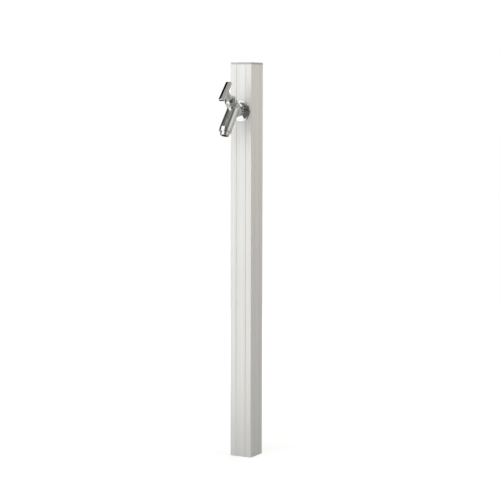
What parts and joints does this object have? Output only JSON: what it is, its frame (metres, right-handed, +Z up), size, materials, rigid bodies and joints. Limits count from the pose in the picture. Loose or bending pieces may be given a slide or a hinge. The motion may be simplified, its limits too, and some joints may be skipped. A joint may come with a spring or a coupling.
{
  "type": "garden standpipe",
  "caption": "Square aluminium garden standpipe with a chrome tee-handle tap near its top, fed by a pipe inside the post.",
  "frame": {"origin": "middle of the post's lower end, on the plane of its cut edge", "axes": "+Z up along the post, -Y the way the tap faces, +X to the right of someone facing the back"},
  "size_m": [0.06, 0.1651, 1.005],
  "materials": {
    "anodised_aluminium": "satin silver anodised",
    "cast_cap": "matte silver",
    "chrome": "polished plating",
    "stainless": "plain",
    "brass": "as turned",
    "grey_pvc": "dark blue-grey pipe",
    "black_plastic": "moulded",
    "foam": "closed-cell foam",
    "ptfe": "thread tape",
    "fibre": "red fibre",
    "rubber": "black rubber"
  },
  "bodies": {
    "post": {"post_tube": "anodised_aluminium", "top_cap": "cast_cap", "cap_screws": "stainless", "supply_pipe": "grey_pvc", "bottom_socket": "grey_pvc", "socket_guide": "black_plastic", "pipe_spacer_1": "foam", "pipe_spacer_2": "foam", "tap_elbow": "grey_pvc", "elbow_insert": "brass", "elbow_screws": "stainless", "seal_tape": "ptfe", "escutcheon": "chrome", "tap_body": "chrome", "nozzle_ring": "chrome", "flow_screen": "stainless", "nozzle_gasket": "rubber", "bonnet_nut": "chrome", "bonnet_gasket": "fibre", "packing_washer": "brass", "stem_packing": "rubber"},
    "jumper": {"jumper_valve": "brass", "jumper_washer": "rubber", "jumper_nut": "brass"},
    "tee_handle": {"spindle": "brass", "handle": "chrome", "handle_set_screw": "stainless"}
  },
  "joints": [
    {"name": "valve_lift", "type": "slide", "parent": "post", "child": "jumper", "axis": [0, -0.749, 0.6626], "range_m": [0, 0.0045]},
    {"name": "handle_turn", "type": "hinge", "parent": "jumper", "child": "tee_handle", "pos_m": [0, -0.055, 0.883], "axis": [0, -0.749, 0.6626], "range_deg": [0, 810]}
  ],
  "couplings": [
    {"joint": "handle_turn", "follows": "valve_lift", "rad_per_m": 3141.5}
  ]
}
